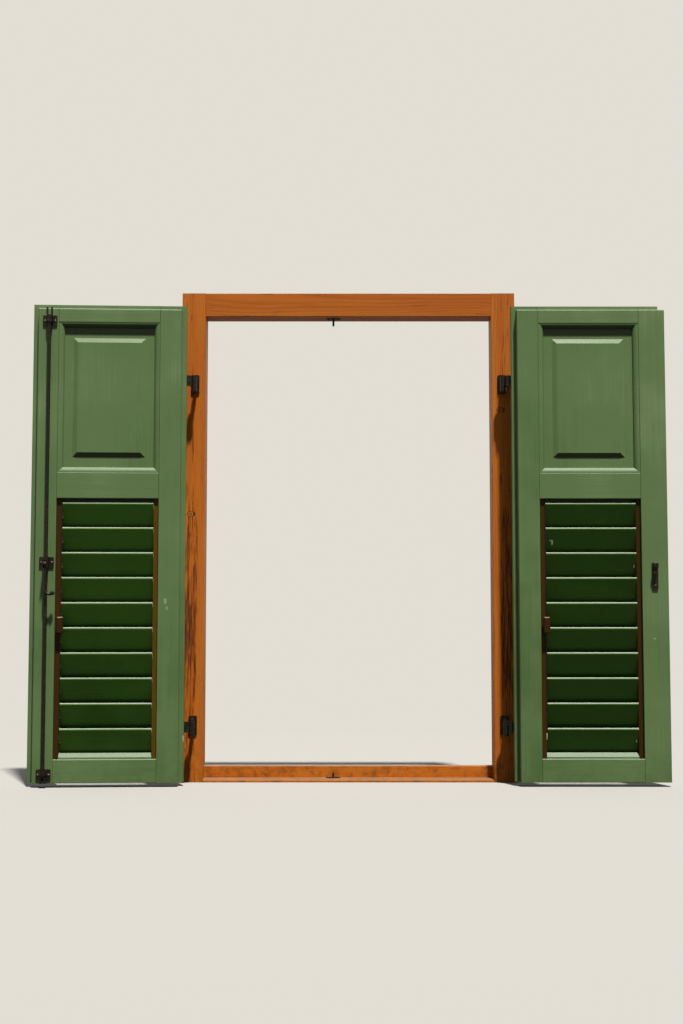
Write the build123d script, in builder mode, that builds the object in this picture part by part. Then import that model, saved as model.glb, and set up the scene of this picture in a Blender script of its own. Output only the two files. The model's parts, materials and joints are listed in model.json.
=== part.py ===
from build123d import *
import os
from math import atan, cos, degrees, radians, sin

os.makedirs("parts", exist_ok=True)

# Window shutters: two framed leaves with a raised panel over adjustable slats, hung on pintles in
# a wooden frame. Millimetres, x to the right, y into the building, z up from the frame's foot.

# Fixed frame
opening_width = 824
head_level = 1332
member_width = 68
frame_depth = 70
frame_arris = 1.5
sill_nose = 5
sill_seat = 9
sill_upstand = 42
upstand_depth = 21
sill_tenon_thickness = 10.5
frame_tenon_length = 25
frame_tenon_thickness = 18
frame_shoulder = 12
jamb_hole_radius = 3.75
jamb_hole_inset = 220
jamb_hole_depth_place = 15

# Shutter leaves
leaf_thickness = 42
outer_layer = 18
flange_overlap = 11
top_overlap = 10
rebate = 14
meeting_gap = 3
meeting_bevel = 3
lap_clearance = 1
seat_gap = 1
leaf_foot = 12
stile_width = 74
leaf_arris = 1.4
top_arris = 2.5
bottom_rail_height = 64
mid_rail_level = 794
mid_rail_height = 72
top_rail_height = 38
tenon_length = 22
tenon_thickness = 12
tenon_shoulder = 10
fit = 0.2

# Raised panel and its beads
panel_recess = 13
panel_thickness = 12
panel_groove = 8
panel_play = 1
field_rise = 6
field_bevel = 13
field_side_margin = 52.5
field_end_margin = 57
bead_width = 15
bead_quirk = 1
bead_flat = 2.5
bead_foot = 2.5
mitre_gap = 0.2

# Adjustable slats
slat_pitch = 69.2
slat_chord = 78
slat_thickness = 8.5
slat_rest_angle = 68
slat_end_space = 44
strip_width = 13
strip_depth = 26
pivot_radius = 2.5
pivot_length = 10
slat_side_play = 0.8
slat_notch = 6
link_reach = 30
link_pin_radius = 1.5
tilt_rod_thickness = 2
tilt_rod_width = 8
tilt_rod_play = 0.4
tilt_rod_end = 6
knob_width = 18
knob_height = 46
knob_thickness = 12
knob_corner = 4
knob_bevel = 3
knob_level = 442.5
knob_standoff = 10.5
neck_height = 24
sill_bead_height = 16
sill_bead_setback = 8
sill_bead_bevel = 11
stop_bead_height = 14
stop_bead_depth = 13
stop_bead_setback = 2

# Pintle hinges
hinge_inset = 18
hinge_standoff = 25
lower_hinge_level = 160
upper_hinge_level = 1133
left_rest_angle = -177
right_rest_angle = 180
knuckle_radius = 9
knuckle_height = 30
hinge_pin_radius = 4.8
hinge_pin_rise = 3
pin_clearance = 0.1
axial_clearance = 0.3
strap_thickness = 4
strap_reach = 66
strap_leg_width = 26
strap_leg_height = 110
strap_corner = 5
pintle_plate_width = 24
pintle_plate_height = 54
pintle_plate_thickness = 4
pintle_plate_corner = 4
pintle_arm_width = 10
pintle_boss_height = 12
screw_radius = 2
screw_length = 20
screw_hole_spare = 2
screw_head_radius = 4
screw_head_height = 2.2
strap_screw_spread = 38
pintle_screw_below = 6
pintle_screw_above = 18

# Turning bolt of the left leaf
bolt_inset = 49
bolt_standoff = 13
bolt_radius = 5
bolt_clearance = 0.3
fork_gap = 8
fork_tine = 4.5
fork_depth = 8
fork_length = 31
fork_slot = 19
fork_throat = 2.75
low_fork_length = 22
low_fork_slot = 14
fork_head_clearance = 1
stud_radius = 3
stud_gap = 3
keeper_width = 40
keeper_depth = 18
keeper_thickness = 2.5
keeper_corner = 3
guide_width = 40
guide_height = 31
guide_thickness = 3
guide_corner = 3
guide_wall = 3
loop_height = 10
handle_level = 610
boss_radius = 7.5
boss_height = 20
boss_reach = 22
handle_pin_reach = 14
handle_pin_radius = 2.4
handle_eye_radius = 7.5
handle_thickness = 8
handle_slot = 9
handle_bar_radius = 3.6
handle_overreach = 1.5
handle_curl_radius = 13
handle_curl_angle = 130
handle_ball_radius = 6
catch_inset = 38
catch_width = 17
catch_height = 76
catch_thickness = 3
catch_corner = 4
cradle_width = 12
cradle_wall = 4
cradle_lip = 10
cradle_bevel = 1.6
cradle_clearance = 1

# Sizes that follow from those above
half_opening = opening_width / 2
frame_front = -frame_depth / 2
frame_back = frame_depth / 2
frame_height = head_level + member_width
hinge_x = half_opening + flange_overlap + hinge_inset
hinge_y = frame_front - seat_gap - outer_layer - hinge_standoff
hinge_levels = (lower_hinge_level, upper_hinge_level)
outside = hinge_standoff
layer_line = outside + outer_layer
inside = outside + leaf_thickness
edge = hinge_inset
body_edge = edge + rebate
leaf_width = half_opening + flange_overlap + (rebate - meeting_gap) / 2
free_edge = edge + leaf_width
free_body_edge = free_edge - rebate
clear_near = edge + stile_width
clear_far = free_edge - stile_width
clear_width = clear_far - clear_near
leaf_top = head_level + top_overlap
body_top = leaf_top - rebate
top_rail_level = body_top - top_rail_height
bottom_rail_top = leaf_foot + bottom_rail_height
mid_rail_top = mid_rail_level + mid_rail_height
panel_height = top_rail_level - mid_rail_top
panel_face = inside - panel_recess
panel_back = panel_face - panel_thickness
tongue_middle = panel_back + panel_thickness / 2
slat_axis = outside + leaf_thickness / 2
louvre_height = mid_rail_level - bottom_rail_top
slat_count = int((louvre_height - 2 * slat_end_space) / slat_pitch) + 1
first_slat = bottom_rail_top + (louvre_height + slat_pitch * (slat_count - 1)) / 2
slat_levels = [first_slat - slat_pitch * n for n in range(slat_count)]
rod_space = tilt_rod_thickness + 2 * tilt_rod_play
strip_near = clear_near + strip_width
strip_far = clear_far - strip_width
link_y = slat_axis + link_reach * cos(radians(slat_rest_angle))
link_rise = link_reach * sin(radians(slat_rest_angle))
bolt_x = free_edge - bolt_inset
bolt_y = inside + bolt_standoff
bolt_world_x = bolt_x - hinge_x
bolt_world_y = bolt_y + hinge_y
catch_x = free_edge - catch_inset
bolt_to_catch = bolt_inset + catch_inset - rebate + meeting_gap
handle_drop = bolt_to_catch - handle_pin_reach + cradle_width / 2 + handle_overreach
left_place = Location((-hinge_x, hinge_y, 0), (0, 0, left_rest_angle))
right_place = Location((hinge_x, hinge_y, 0), (0, 0, right_rest_angle))


def write(piece, node, place=Location()):
    """Stands a finished piece in its place and writes it."""
    piece.part.locate(place)
    piece.part.label = node
    export_step(piece.part, f"parts/{node}.step")


def room_side(y):
    """The upright plane at depth y that faces the room, with its own x to the left."""
    return Plane(origin=(0, y, 0), x_dir=(-1, 0, 0), z_dir=(0, 1, 0))


def wall_side(y):
    """The upright plane at depth y that faces the street, with its own x to the right."""
    return Plane(origin=(0, y, 0), x_dir=(1, 0, 0), z_dir=(0, -1, 0))


# Fixed frame

tenon_reach = half_opening + frame_tenon_length
head_tenon = member_width - 2 * frame_shoulder
sill_tenon = sill_upstand - frame_shoulder
sill_tenon_depth = frame_back - upstand_depth / 2

with BuildPart() as frame_head:
    with BuildSketch(Plane.YZ.offset(-half_opening)) as head_section:
        with Locations((0, head_level + member_width / 2)):
            Rectangle(frame_depth, member_width)
        chamfer(head_section.vertices(), frame_arris)
    extrude(amount=opening_width)
    with Locations((0, 0, head_level + member_width / 2)):
        Box(2 * tenon_reach, frame_tenon_thickness, head_tenon)
write(frame_head, "frame_head")

with BuildPart() as frame_sill:
    with BuildSketch(Plane.YZ.offset(-half_opening)) as sill_section:
        Polygon(
            (frame_front, 0),
            (frame_front, sill_nose),
            (hinge_y + inside + seat_gap, sill_seat),
            (frame_back - upstand_depth, sill_seat),
            (frame_back - upstand_depth, sill_upstand),
            (frame_back, sill_upstand),
            (frame_back, 0),
            align=None,
        )
        chamfer(sill_section.vertices().group_by(Axis.Y)[-1], frame_arris)
    extrude(amount=opening_width)
    with Locations((0, sill_tenon_depth, sill_upstand / 2)):
        Box(2 * tenon_reach, sill_tenon_thickness, sill_tenon)
write(frame_sill, "frame_sill")


def pintle_screw_spots():
    """The heights of the two screws of each pintle, both above its arm."""
    offsets = (-pintle_screw_below, pintle_screw_above)
    return [level + offset for level in hinge_levels for offset in offsets]


def build_jamb(node, side):
    """One upright of the frame, with mortises for head and sill and its fixing holes."""
    middle = side * (half_opening + member_width / 2)
    mortise = side * (half_opening + (frame_tenon_length + fit) / 2)
    with BuildPart() as jamb:
        with BuildSketch() as jamb_section:
            with Locations((middle, 0)):
                Rectangle(member_width, frame_depth)
            chamfer(jamb_section.vertices(), frame_arris)
        extrude(amount=frame_height)
        with Locations((mortise, 0, head_level + member_width / 2)):
            Box(
                frame_tenon_length + fit,
                frame_tenon_thickness + fit,
                head_tenon + fit,
                mode=Mode.SUBTRACT,
            )
        with Locations((mortise, sill_tenon_depth, sill_upstand / 2)):
            Box(
                frame_tenon_length + fit,
                sill_tenon_thickness + fit,
                sill_tenon + fit,
                mode=Mode.SUBTRACT,
            )
        with BuildSketch(Plane.YZ.offset(middle)):
            with Locations(
                (jamb_hole_depth_place, jamb_hole_inset),
                (jamb_hole_depth_place, frame_height - jamb_hole_inset),
            ):
                Circle(jamb_hole_radius)
        extrude(amount=member_width, both=True, mode=Mode.SUBTRACT)
        with BuildSketch(wall_side(frame_front)):
            with Locations(*[(side * hinge_x, level) for level in pintle_screw_spots()]):
                Circle(screw_radius + pin_clearance)
        extrude(amount=-screw_length, mode=Mode.SUBTRACT)
    write(jamb, node)


def build_pintles(node, side):
    """Two pintles on one jamb: a screwed plate, an arm and the upright pin the leaf hangs on."""
    plate_front = frame_front - pintle_plate_thickness
    with BuildPart() as pintles:
        for level in hinge_levels:
            boss_top = level - knuckle_height / 2 - axial_clearance
            with BuildSketch(wall_side(frame_front)) as plate:
                with Locations((side * hinge_x, level)):
                    RectangleRounded(pintle_plate_width, pintle_plate_height, pintle_plate_corner)
                with Locations(*[(side * hinge_x, screw) for screw in pintle_screw_spots()]):
                    Circle(screw_radius + pin_clearance, mode=Mode.SUBTRACT)
            extrude(amount=pintle_plate_thickness)
            with BuildSketch(Plane.XY.offset(boss_top - pintle_boss_height)):
                with Locations((side * hinge_x, hinge_y)):
                    Circle(knuckle_radius)
                with Locations((side * hinge_x, (hinge_y + plate_front) / 2)):
                    Rectangle(pintle_arm_width, plate_front - hinge_y)
            extrude(amount=pintle_boss_height)
            with BuildSketch(Plane.XY.offset(boss_top)):
                with Locations((side * hinge_x, hinge_y)):
                    Circle(hinge_pin_radius)
            extrude(amount=knuckle_height + axial_clearance + hinge_pin_rise)
    write(pintles, node)


build_jamb("frame_jamb_left", -1)
build_jamb("frame_jamb_right", 1)
build_pintles("pintles_left", -1)
build_pintles("pintles_right", 1)

with BuildPart() as pintle_screws:
    spots = [(side * hinge_x, level) for side in (-1, 1) for level in pintle_screw_spots()]
    with BuildSketch(wall_side(frame_front - pintle_plate_thickness)):
        with Locations(*spots):
            RegularPolygon(screw_head_radius, 6)
    extrude(amount=screw_head_height)
    with BuildSketch(wall_side(frame_front - pintle_plate_thickness)):
        with Locations(*spots):
            Circle(screw_radius)
    extrude(amount=-(pintle_plate_thickness + screw_length - screw_hole_spare))
write(pintle_screws, "pintle_screws")


def build_keeper(node, seat, tip):
    """A plate screwed to the frame with a stud that the bolt's fork closes round."""
    up = 1 if tip > seat else -1
    with BuildPart() as keeper:
        with BuildSketch(Plane.XY.offset(seat)):
            with Locations((bolt_world_x, bolt_world_y)):
                RectangleRounded(keeper_width, keeper_depth, keeper_corner)
        extrude(amount=up * keeper_thickness)
        with BuildSketch(Plane.XY.offset(seat)):
            with Locations((bolt_world_x, bolt_world_y)):
                Circle(stud_radius)
        extrude(amount=tip - seat)
    write(keeper, node)


fork_top = body_top - fork_head_clearance
fork_foot = sill_seat + keeper_thickness + fork_head_clearance
build_keeper("keeper_top", head_level, fork_top - fork_slot + stud_gap)
build_keeper("keeper_bottom", sill_seat, fork_foot + low_fork_slot - stud_gap)


# Leaves, each drawn closed with its hinge line at x = 0, y = 0 and reaching to side * x


def rail_tenons(low, high, side):
    """Stub tenons at both ends of a rail."""
    for x in (clear_near - tenon_length / 2, clear_far + tenon_length / 2):
        with Locations((side * x, tongue_middle, (low + high) / 2)):
            Box(tenon_length, tenon_thickness, high - low - 2 * tenon_shoulder)


def panel_groove_cut(x_near, x_far, low, high, side):
    """The groove that holds the panel's edge, between two distances and two heights."""
    with Locations((side * (x_near + x_far) / 2, tongue_middle, (low + high) / 2)):
        Box(x_far - x_near, panel_thickness + fit, high - low, mode=Mode.SUBTRACT)


def hinge_screw_spots():
    """Distance from the hinge line and height of every strap screw."""
    leg = edge + strap_reach - strap_leg_width / 2
    spots = []
    for level in hinge_levels:
        spots += [(leg, level - strap_screw_spread), (leg, level + strap_screw_spread), (leg, level)]
    return spots


def build_stile(node, side, place, points, inner_edge, holds_hinges):
    """An upright with mortises, the panel's groove and, on the hinge side, its screw holes."""
    into = 1 if inner_edge == clear_far else -1
    rails = [
        (leaf_foot, bottom_rail_top),
        (mid_rail_level, mid_rail_top),
        (top_rail_level, body_top),
    ]
    with BuildPart() as stile:
        with BuildSketch(Plane.XY.offset(leaf_foot)) as plan:
            Polygon(*[(side * x, y) for x, y in points], align=None)
            chamfer(plan.vertices(), leaf_arris)
        extrude(amount=leaf_top - leaf_foot)
        with BuildSketch(Plane.YZ):
            Polygon(
                (layer_line, body_top),
                (inside - top_arris, body_top),
                (inside, body_top - top_arris),
                (inside, leaf_top),
                (layer_line, leaf_top),
                align=None,
            )
        extrude(amount=side * free_edge, mode=Mode.SUBTRACT)
        mortise = tenon_length + fit
        for low, high in rails:
            with Locations((side * (inner_edge + into * mortise / 2), tongue_middle, (low + high) / 2)):
                Box(
                    mortise,
                    tenon_thickness + fit,
                    high - low - 2 * tenon_shoulder + fit,
                    mode=Mode.SUBTRACT,
                )
        groove = sorted((inner_edge, inner_edge + into * panel_groove))
        panel_groove_cut(*groove, mid_rail_top - panel_groove, top_rail_level + panel_groove, side)
        if holds_hinges:
            with BuildSketch(wall_side(outside)):
                with Locations(*[(side * x, z) for x, z in hinge_screw_spots()]):
                    Circle(screw_radius + pin_clearance)
            extrude(amount=-screw_length, mode=Mode.SUBTRACT)
    write(stile, node, place)


def build_rails(name, side, place):
    """Top, middle and bottom rails between the stiles."""
    start = Plane.YZ.offset(side * clear_near)
    with BuildPart() as top_rail:
        with BuildSketch(start):
            Polygon(
                (outside, top_rail_level),
                (outside, leaf_top),
                (layer_line, leaf_top),
                (layer_line, body_top),
                (inside - top_arris, body_top),
                (inside, body_top - top_arris),
                (inside, top_rail_level),
                align=None,
            )
        extrude(amount=side * clear_width)
        panel_groove_cut(clear_near, clear_far, top_rail_level, top_rail_level + panel_groove, side)
        rail_tenons(top_rail_level, body_top, side)
    write(top_rail, f"{name}_top_rail", place)

    with BuildPart() as mid_rail:
        with BuildSketch(start) as mid_section:
            with Locations((slat_axis, mid_rail_level + mid_rail_height / 2)):
                Rectangle(leaf_thickness, mid_rail_height)
            chamfer(mid_section.vertices(), leaf_arris)
        extrude(amount=side * clear_width)
        panel_groove_cut(clear_near, clear_far, mid_rail_top - panel_groove, mid_rail_top, side)
        rail_tenons(mid_rail_level, mid_rail_top, side)
        with BuildSketch(Plane.YZ.offset(side * (strip_near + fit))):
            with Locations((outside + stop_bead_setback, mid_rail_level - stop_bead_height)):
                Rectangle(stop_bead_depth, stop_bead_height + leaf_arris, align=(Align.MIN, Align.MIN))
        extrude(amount=side * (strip_far - strip_near - 2 * fit))
    write(mid_rail, f"{name}_mid_rail", place)

    bead_face = inside - sill_bead_setback
    bead_top = bottom_rail_top + sill_bead_height
    with BuildPart() as bottom_rail:
        with BuildSketch(start) as bottom_section:
            with Locations((slat_axis, leaf_foot + bottom_rail_height / 2)):
                Rectangle(leaf_thickness, bottom_rail_height)
            chamfer(bottom_section.vertices(), leaf_arris)
        extrude(amount=side * clear_width)
        rail_tenons(leaf_foot, bottom_rail_top, side)
        with BuildSketch(Plane.YZ.offset(side * (strip_near + fit))):
            Polygon(
                (slat_axis, bottom_rail_top - leaf_arris),
                (bead_face, bottom_rail_top - leaf_arris),
                (bead_face, bead_top - sill_bead_bevel),
                (bead_face - sill_bead_bevel, bead_top),
                (slat_axis, bead_top),
                align=None,
            )
        extrude(amount=side * (strip_far - strip_near - 2 * fit))
    write(bottom_rail, f"{name}_bottom_rail", place)


def build_panel(name, side, place):
    """The raised panel, thin at its edges, and four mitred beads round it."""
    middle_x = side * (clear_near + clear_far) / 2
    middle_z = (mid_rail_top + top_rail_level) / 2
    tongue = 2 * (panel_groove - panel_play)
    with BuildPart() as panel:
        with BuildSketch(room_side(panel_back)):
            with Locations((-middle_x, middle_z)):
                Rectangle(clear_width + tongue, panel_height + tongue)
        extrude(amount=panel_thickness)
        with BuildSketch(room_side(panel_face)):
            with Locations((-middle_x, middle_z)):
                Rectangle(
                    clear_width - 2 * (field_side_margin - field_bevel),
                    panel_height - 2 * (field_end_margin - field_bevel),
                )
        extrude(amount=field_rise, taper=degrees(atan(field_bevel / field_rise)))
    write(panel, f"{name}_panel", place)

    height = panel_recess - bead_quirk
    sides = [
        (middle_x, mid_rail_top, (1, 0, 0), clear_width),
        (middle_x, top_rail_level, (-1, 0, 0), clear_width),
        (middle_x - clear_width / 2, middle_z, (0, 0, -1), panel_height),
        (middle_x + clear_width / 2, middle_z, (0, 0, 1), panel_height),
    ]
    seated = []
    for x, z, along, length in sides:
        seat = Plane(origin=(x, panel_face, z), x_dir=along, z_dir=(0, -1, 0))
        mitre = length / 2 - mitre_gap
        with BuildPart() as bead:
            with BuildSketch(Plane.YZ.offset(-length / 2)):
                with BuildLine():
                    Polyline(
                        (bead_width, -bead_foot),
                        (bead_width, 0),
                        (0, 0),
                        (0, -height),
                        (bead_flat, -height),
                    )
                    RadiusArc((bead_flat, -height), (bead_width, -bead_foot), -bead_width)
                make_face()
            extrude(amount=length)
            split(bisect_by=Plane(origin=(-mitre, 0, 0), z_dir=(1, -1, 0)), keep=Keep.TOP)
            split(bisect_by=Plane(origin=(mitre, 0, 0), z_dir=(-1, -1, 0)), keep=Keep.TOP)
        seated.append(bead.part.moved(Location(seat)))
    with BuildPart() as beads:
        add(seated)
    write(beads, f"{name}_panel_beads", place)


def build_slats(name, side, place, rod_far):
    """Side strips, slats with their pivots and link pins, the tilt rod and its knob.

    Each slat is notched at one end, from just below its pivot to its upper edge, where the rod runs.
    """
    near = strip_near + (slat_side_play if rod_far else rod_space)
    far = strip_far - (rod_space if rod_far else slat_side_play)
    rod_middle = strip_far - rod_space / 2 if rod_far else strip_near + rod_space / 2
    rod_outer_face = rod_middle + (tilt_rod_thickness / 2 if rod_far else -tilt_rod_thickness / 2)
    slat_end = far if rod_far else near
    slat_reach = strip_far - slat_side_play if rod_far else strip_near + slat_side_play
    notch_middle = slat_chord / 2 - slat_notch
    notch_y = slat_axis + notch_middle * cos(radians(slat_rest_angle))
    notch_rise = notch_middle * sin(radians(slat_rest_angle))
    with BuildPart() as strips:
        with BuildSketch(Plane.XY.offset(bottom_rail_top)):
            with Locations(
                (side * (clear_near + strip_near) / 2, slat_axis),
                (side * (clear_far + strip_far) / 2, slat_axis),
            ):
                Rectangle(strip_width, strip_depth)
        extrude(amount=mid_rail_level - bottom_rail_top)
        with BuildSketch(Plane.YZ):
            with Locations(*[(slat_axis, level) for level in slat_levels]):
                Circle(pivot_radius + pin_clearance)
        extrude(amount=side * free_edge, mode=Mode.SUBTRACT)
    write(strips, f"{name}_slat_strips", place)

    for number, level in enumerate(slat_levels, start=1):
        with BuildPart() as slat:
            with BuildSketch(Plane.YZ.offset(side * near)):
                with Locations((slat_axis, level)):
                    SlotOverall(slat_chord, slat_thickness, rotation=slat_rest_angle)
            extrude(amount=side * (far - near))
            with BuildSketch(Plane.YZ.offset(side * slat_end)):
                with Locations((slat_axis, level)):
                    SlotOverall(slat_chord, slat_thickness, rotation=slat_rest_angle)
                with Locations((notch_y, level + notch_rise)):
                    Rectangle(slat_chord, 2 * slat_thickness, rotation=slat_rest_angle, mode=Mode.SUBTRACT)
            extrude(amount=side * (slat_reach - slat_end))
            with BuildSketch(Plane.YZ.offset(side * (strip_near - pivot_length))):
                with Locations((slat_axis, level)):
                    Circle(pivot_radius)
            extrude(amount=side * (strip_far - strip_near + 2 * pivot_length))
            with BuildSketch(Plane.YZ.offset(side * slat_end)):
                with Locations((link_y, level + link_rise)):
                    Circle(link_pin_radius)
            extrude(amount=side * (rod_outer_face - slat_end))
        write(slat, f"{name}_slat_{number:02d}", place)

    rod_top = slat_levels[0] + link_rise + tilt_rod_end
    rod_foot = slat_levels[-1] + link_rise - tilt_rod_end
    with BuildPart() as tilt_rod:
        with BuildSketch(Plane.YZ.offset(side * (rod_middle - tilt_rod_thickness / 2))):
            with Locations((link_y, (rod_top + rod_foot) / 2)):
                Rectangle(tilt_rod_width, rod_top - rod_foot)
            with Locations((link_y + knob_standoff / 2, knob_level)):
                Rectangle(knob_standoff, neck_height)
            with Locations(*[(link_y, level + link_rise) for level in slat_levels]):
                Circle(link_pin_radius + fit, mode=Mode.SUBTRACT)
        extrude(amount=side * tilt_rod_thickness)
    write(tilt_rod, f"{name}_tilt_rod", place)

    with BuildPart() as tilt_knob:
        with BuildSketch(room_side(link_y + knob_standoff)):
            with Locations((-side * rod_middle, knob_level)):
                RectangleRounded(knob_width, knob_height, knob_corner)
        extrude(amount=knob_thickness)
        chamfer(tilt_knob.faces().sort_by(Axis.Y)[-1].edges(), knob_bevel)
    write(tilt_knob, f"{name}_tilt_knob", place)


def build_straps(name, side, place):
    """The two hinge straps on the outside face, each with a knuckle, and their screws."""
    strap_face = outside - strap_thickness
    crank = knuckle_radius - strap_thickness
    leg_middle = edge + strap_reach - strap_leg_width / 2
    with BuildPart() as straps:
        for level in hinge_levels:
            with BuildSketch(Plane.XY.offset(level - knuckle_height / 2)):
                Circle(knuckle_radius)
                with Locations((side * (crank + strap_thickness / 2), outside / 2)):
                    Rectangle(strap_thickness, outside)
                with Locations((side * (crank + edge + strap_reach) / 2, strap_face + strap_thickness / 2)):
                    Rectangle(edge + strap_reach - crank, strap_thickness)
                Circle(hinge_pin_radius + pin_clearance, mode=Mode.SUBTRACT)
            extrude(amount=knuckle_height)
            with BuildSketch(wall_side(outside)):
                with Locations((side * leg_middle, level)):
                    RectangleRounded(strap_leg_width, strap_leg_height, strap_corner)
            extrude(amount=strap_thickness)
        with BuildSketch(wall_side(outside)):
            with Locations(*[(side * x, z) for x, z in hinge_screw_spots()]):
                Circle(screw_radius + pin_clearance)
        extrude(amount=strap_thickness, mode=Mode.SUBTRACT)
    write(straps, f"{name}_straps", place)

    with BuildPart() as strap_screws:
        with BuildSketch(wall_side(strap_face)):
            with Locations(*[(side * x, z) for x, z in hinge_screw_spots()]):
                RegularPolygon(screw_head_radius, 6)
        extrude(amount=screw_head_height)
        with BuildSketch(wall_side(strap_face)):
            with Locations(*[(side * x, z) for x, z in hinge_screw_spots()]):
                Circle(screw_radius)
        extrude(amount=-(strap_thickness + screw_length - screw_hole_spare))
    write(strap_screws, f"{name}_strap_screws", place)


def build_leaf(name, side, place, meeting_points, rod_far):
    """Every wooden and iron piece that both leaves have."""
    hinge_points = [
        (edge, outside),
        (edge, layer_line),
        (body_edge, layer_line),
        (body_edge, inside),
        (clear_near, inside),
        (clear_near, outside),
    ]
    build_stile(f"{name}_hinge_stile", side, place, hinge_points, clear_near, True)
    build_stile(f"{name}_meeting_stile", side, place, meeting_points, clear_far, False)
    build_rails(name, side, place)
    build_panel(name, side, place)
    build_slats(name, side, place, rod_far)
    build_straps(name, side, place)


# The left leaf laps over the right one from outside, and its inner layer is planed back to clear it.
left_meeting = [
    (clear_far, outside),
    (clear_far, inside),
    (free_body_edge - meeting_bevel, inside),
    (free_body_edge, layer_line),
    (free_edge, layer_line),
    (free_edge, outside),
]
right_meeting = [
    (clear_far, outside),
    (clear_far, inside),
    (free_edge, inside),
    (free_edge, layer_line + lap_clearance),
    (free_body_edge, layer_line + lap_clearance),
    (free_body_edge, outside),
]
build_leaf("left", 1, left_place, left_meeting, True)
build_leaf("right", -1, right_place, right_meeting, False)


# Turning bolt on the inside face of the left leaf

top_fork_root = fork_top - fork_length
bottom_fork_root = fork_foot + low_fork_length
top_loop = top_fork_root - axial_clearance - loop_height
bottom_loop = bottom_fork_root + axial_clearance
handle_loop = handle_level + boss_height / 2 + axial_clearance
handle_pin_y = bolt_y + handle_pin_reach
eye_back = handle_pin_y - handle_eye_radius - (handle_slot - handle_thickness) / 2
loop_radius = bolt_radius + bolt_clearance + guide_wall


def fork_outline(foot, tip, slot):
    """The corners of a forked claw that opens from its foot on the rod to its tip."""
    up = 1 if tip > foot else -1
    shoulder = tip - up * slot
    half_tip = fork_gap / 2 + fork_tine
    return [
        (bolt_x - bolt_radius, foot),
        (bolt_x - half_tip, shoulder),
        (bolt_x - half_tip, tip),
        (bolt_x - fork_gap / 2, tip),
        (bolt_x - fork_gap / 2, shoulder),
        (bolt_x, shoulder - up * fork_throat),
        (bolt_x + fork_gap / 2, shoulder),
        (bolt_x + fork_gap / 2, tip),
        (bolt_x + half_tip, tip),
        (bolt_x + half_tip, shoulder),
        (bolt_x + bolt_radius, foot),
    ]


with BuildPart() as bolt_guides:
    with BuildSketch(room_side(inside)):
        with Locations(
            (-bolt_x, top_loop + loop_height / 2),
            (-bolt_x, handle_loop + loop_height - guide_height / 2),
            (-bolt_x, bottom_loop),
        ):
            RectangleRounded(guide_width, guide_height, guide_corner)
    extrude(amount=guide_thickness)
    for level in (top_loop, handle_loop, bottom_loop):
        with BuildSketch(Plane.XY.offset(level)):
            with Locations((bolt_x, bolt_y)):
                Circle(loop_radius)
            with Locations((bolt_x, (inside + bolt_y) / 2)):
                Rectangle(2 * loop_radius, bolt_standoff)
            with Locations((bolt_x, bolt_y)):
                Circle(bolt_radius + bolt_clearance, mode=Mode.SUBTRACT)
        extrude(amount=loop_height)
write(bolt_guides, "bolt_guides", left_place)

with BuildPart() as bolt_rod:
    with BuildSketch(Plane.XY.offset(bottom_fork_root)):
        with Locations((bolt_x, bolt_y)):
            Circle(bolt_radius)
    extrude(amount=top_fork_root - bottom_fork_root)
    with BuildSketch(Plane.XZ.offset(-bolt_y - fork_depth / 2)):
        Polygon(*fork_outline(top_fork_root, fork_top, fork_slot), align=None)
        Polygon(*fork_outline(bottom_fork_root, fork_foot, low_fork_slot), align=None)
    extrude(amount=fork_depth)
    with BuildSketch(Plane.XY.offset(handle_level - boss_height / 2)):
        with Locations((bolt_x, bolt_y)):
            Circle(boss_radius)
        with Locations((bolt_x, bolt_y + boss_reach / 2)):
            Rectangle(2 * boss_radius, boss_reach)
        with Locations((bolt_x, eye_back + boss_reach / 2)):
            Rectangle(handle_slot, boss_reach, mode=Mode.SUBTRACT)
    extrude(amount=boss_height)
    with BuildSketch(Plane.YZ.offset(bolt_x)):
        with Locations((handle_pin_y, handle_level)):
            Circle(handle_pin_radius + pin_clearance)
    extrude(amount=boss_radius, both=True, mode=Mode.SUBTRACT)
write(bolt_rod, "bolt_rod", left_place)

with BuildPart() as handle_pin:
    with BuildSketch(Plane.YZ.offset(bolt_x)):
        with Locations((handle_pin_y, handle_level)):
            Circle(handle_pin_radius)
    extrude(amount=boss_radius, both=True)
write(handle_pin, "handle_pin", left_place)

curl_top = handle_level - handle_drop
curl_axis = Axis((bolt_x - handle_curl_radius, handle_pin_y, curl_top), (0, 1, 0))
curl_end_x = bolt_x - handle_curl_radius * (1 - cos(radians(handle_curl_angle)))
curl_end_z = curl_top - handle_curl_radius * sin(radians(handle_curl_angle))
with BuildPart() as bolt_handle:
    with BuildSketch(Plane.XY.offset(curl_top)):
        with Locations((bolt_x, handle_pin_y)):
            Circle(handle_bar_radius)
    extrude(amount=handle_level - (handle_eye_radius + handle_pin_radius) / 2 - curl_top)
    with BuildSketch(Plane.XY.offset(curl_top)):
        with Locations((bolt_x, handle_pin_y)):
            Circle(handle_bar_radius)
    revolve(axis=curl_axis, revolution_arc=handle_curl_angle)
    with Locations((curl_end_x, handle_pin_y, curl_end_z)):
        Sphere(handle_ball_radius, rotation=(0, -handle_curl_angle, 0))
    with BuildSketch(Plane.YZ.offset(bolt_x)):
        with Locations((handle_pin_y, handle_level)):
            Circle(handle_eye_radius)
    extrude(amount=handle_thickness / 2, both=True)
    with BuildSketch(Plane.YZ.offset(bolt_x)):
        with Locations((handle_pin_y, handle_level)):
            Circle(handle_pin_radius + pin_clearance)
    extrude(amount=handle_thickness, both=True, mode=Mode.SUBTRACT)
write(bolt_handle, "bolt_handle", left_place)


# Catch for the handle on the inside face of the right leaf

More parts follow.
